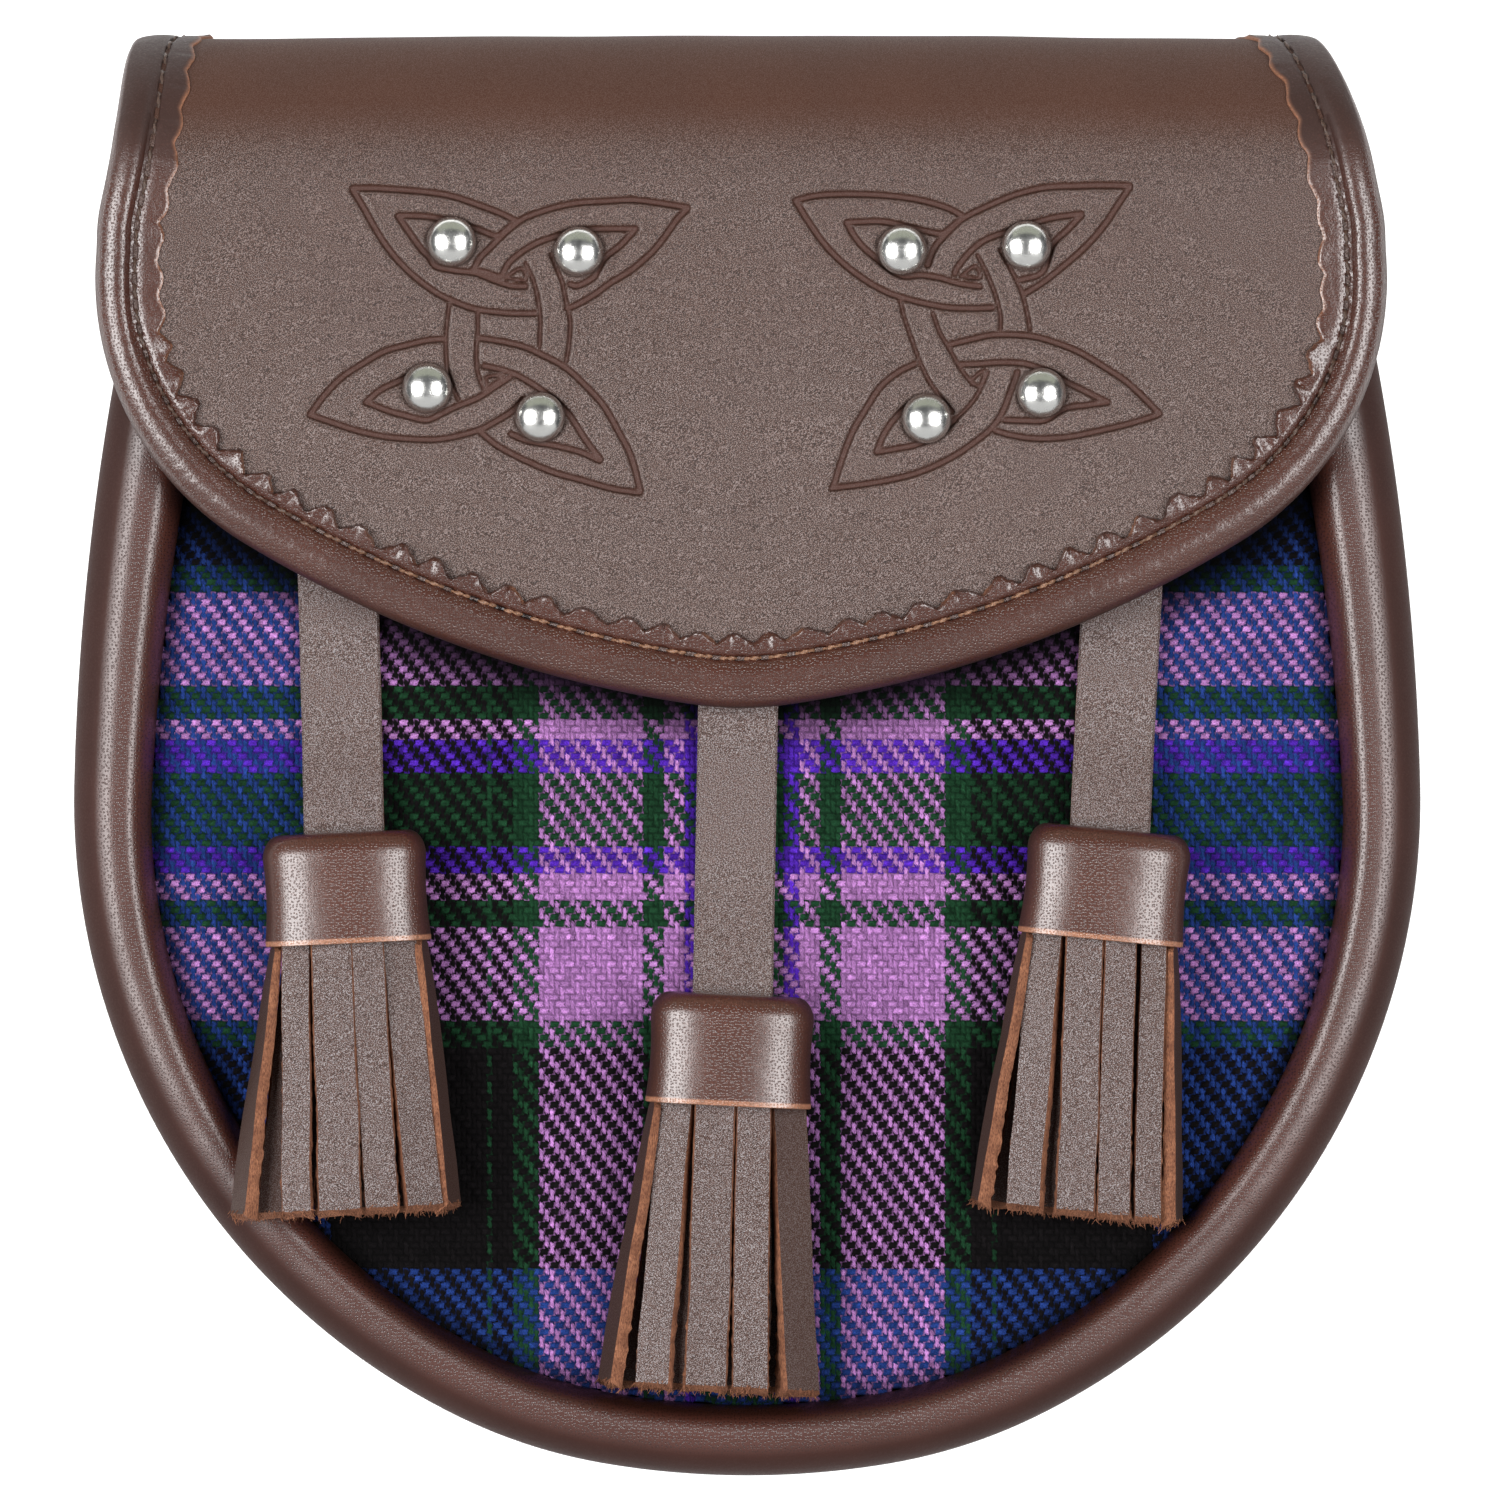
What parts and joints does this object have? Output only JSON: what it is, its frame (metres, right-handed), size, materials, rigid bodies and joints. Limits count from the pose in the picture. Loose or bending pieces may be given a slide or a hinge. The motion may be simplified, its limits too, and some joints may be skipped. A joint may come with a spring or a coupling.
{
  "type": "sporran pouch",
  "caption": "Half-round leather waist pouch with a checked wool front, a bound fold-over flap set with dome studs, and leather tassels hanging in front.",
  "frame": {"origin": "on the resting plane under the middle of the pouch, which lies on its back", "axes": "+Y towards the folded top, +Z out of the checked front, +X to the right seen from the front"},
  "size_m": [0.1902, 0.2042, 0.0506],
  "materials": {
    "brown_leather": "satin",
    "soft_brown_leather": "satin",
    "checked_wool": "matt",
    "bright_metal": "polished"
  },
  "bodies": {
    "root": {"back_panel": "brown_leather", "gusset": "soft_brown_leather", "front_panel": "checked_wool", "flap": "brown_leather", "flap_binding": "soft_brown_leather", "flap_snap": "bright_metal", "belt_loop_left": "brown_leather", "belt_loop_right": "brown_leather", "stud_1": "bright_metal", "stud_2": "bright_metal", "stud_3": "bright_metal", "stud_4": "bright_metal", "stud_5": "bright_metal", "stud_6": "bright_metal", "stud_7": "bright_metal", "stud_8": "bright_metal", "tassel_left_strap": "brown_leather", "tassel_left_cap": "soft_brown_leather", "tassel_left_fringe": "brown_leather", "tassel_middle_strap": "brown_leather", "tassel_middle_cap": "soft_brown_leather", "tassel_middle_fringe": "brown_leather", "tassel_right_strap": "brown_leather", "tassel_right_cap": "soft_brown_leather", "tassel_right_fringe": "brown_leather"}
  },
  "joints": []
}
